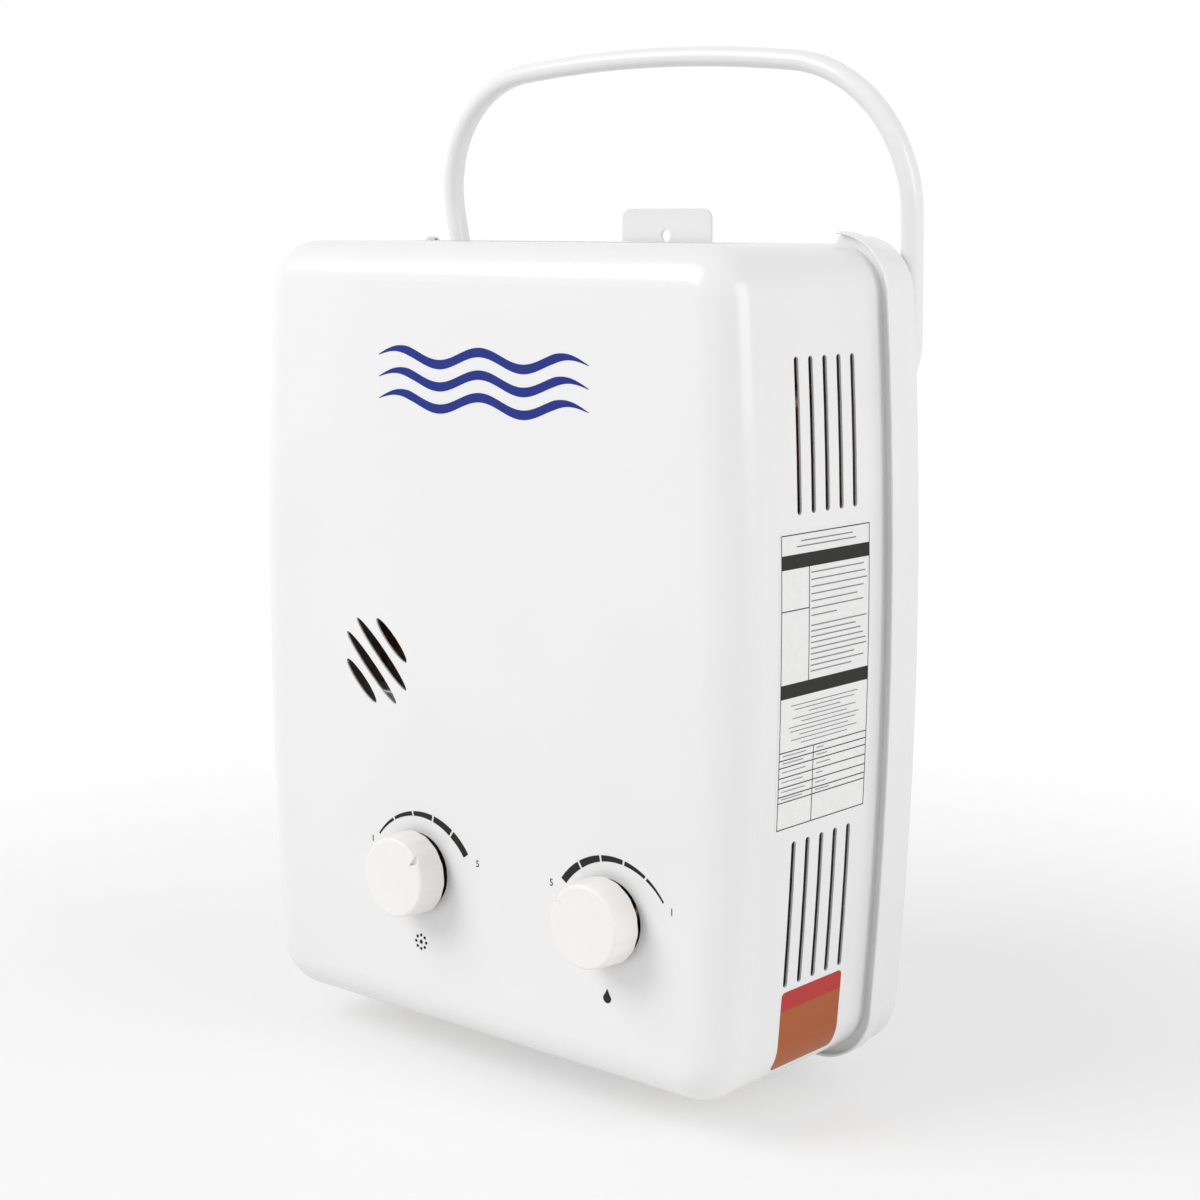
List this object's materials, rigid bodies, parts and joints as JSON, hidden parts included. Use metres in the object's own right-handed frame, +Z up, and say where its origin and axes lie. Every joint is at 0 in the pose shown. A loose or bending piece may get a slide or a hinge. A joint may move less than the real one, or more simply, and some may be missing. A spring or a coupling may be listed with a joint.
{
  "type": "portable propane water heater",
  "caption": "Upright white casing with bowed sides, louvres and slanted vents, two fluted control knobs, a folding carry bail and a hanging tab; gas and water stubs below.",
  "frame": {"origin": "on the floor plane, under the middle of the whole object's bounding box", "axes": "+X is the viewer's right, +Y runs from the front panel to the back, +Z is up"},
  "size_m": [0.31, 0.1724, 0.4795],
  "materials": {
    "white_enamel": "gloss powder coat",
    "knob_plastic": "satin moulded",
    "zinc_steel": "zinc plated",
    "stainless": "heat tinted sheet",
    "copper": "drawn copper",
    "brass": "machined",
    "cast_aluminium": "as cast",
    "black_plastic": "fine grain",
    "grey_plastic": "fine grain",
    "ceramic": "glazed",
    "rubber": "matte",
    "lead_insulation": "silicone",
    "cell_wrap": "film"
  },
  "bodies": {
    "heater": {"rear_casing": "white_enamel", "front_cover": "white_enamel", "floor_plate": "zinc_steel", "cover_screws": "zinc_steel", "top_hooks": "zinc_steel", "exhaust_grille": "stainless", "hanger_tab": "white_enamel", "handle_saddles": "white_enamel", "handle_screws": "zinc_steel", "combustion_chamber": "copper", "exchanger_fins": "copper", "exchanger_pipe": "copper", "flue_hood": "stainless", "chamber_brackets": "zinc_steel", "burner_bars": "stainless", "burner_frame": "stainless", "gas_manifold": "cast_aluminium", "gas_injectors": "brass", "gas_feed_pipe": "cast_aluminium", "cold_water_pipe": "copper", "hot_water_pipe": "copper", "overheat_cutout": "black_plastic", "gas_valve_body": "cast_aluminium", "solenoid_valve": "zinc_steel", "diaphragm_housing": "cast_aluminium", "diaphragm_cover": "brass", "diaphragm": "rubber", "clamp_screws": "zinc_steel", "drain_plug": "brass", "water_valve_body": "brass", "microswitch": "black_plastic", "gas_inlet": "brass", "cold_water_inlet": "brass", "hot_water_outlet": "brass", "inlet_filter": "stainless", "igniter_module": "black_plastic", "ignition_electrode": "ceramic", "flame_sensor": "ceramic", "ignition_leads": "lead_insulation", "battery_box": "black_plastic", "battery_cells": "cell_wrap", "battery_contacts": "zinc_steel"},
    "handle": {"handle": "white_enamel"},
    "gas_control": {"gas_knob": "knob_plastic", "gas_spindle": "brass"},
    "water_control": {"water_knob": "knob_plastic", "water_spindle": "brass"},
    "valve_rod": {"push_rod": "stainless"},
    "switch_plunger": {"switch_button": "grey_plastic"},
    "battery_hatch": {"battery_door": "black_plastic", "door_contact": "zinc_steel"}
  },
  "joints": [
    {"name": "handle_swing", "type": "hinge", "parent": "heater", "child": "handle", "pos_m": [0, 0.07969, 0.315], "axis": [-1, 0, 0], "range_deg": [0, 185]},
    {"name": "gas_turn", "type": "hinge", "parent": "heater", "child": "gas_control", "pos_m": [-0.036, -0.06819, 0.096], "axis": [0, 1, 0], "range_deg": [-109, 0]},
    {"name": "water_turn", "type": "hinge", "parent": "heater", "child": "water_control", "pos_m": [0.081, -0.06819, 0.096], "axis": [0, 1, 0], "range_deg": [0, 109]},
    {"name": "rod_push", "type": "slide", "parent": "heater", "child": "valve_rod", "axis": [-1, 0, 0], "range_m": [0, 0.003], "stiffness_N_per_m": 600, "springref_m": -0.002},
    {"name": "switch_press", "type": "slide", "parent": "heater", "child": "switch_plunger", "axis": [-1, 0, 0], "range_m": [0, 0.0015]},
    {"name": "hatch_open", "type": "hinge", "parent": "heater", "child": "battery_hatch", "pos_m": [0.024, 0.05911, 0.0012], "axis": [1, 0, 0], "range_deg": [0, 90]}
  ],
  "couplings": [
    {"joint": "switch_press", "follows": "rod_push", "ratio": 0.5}
  ]
}
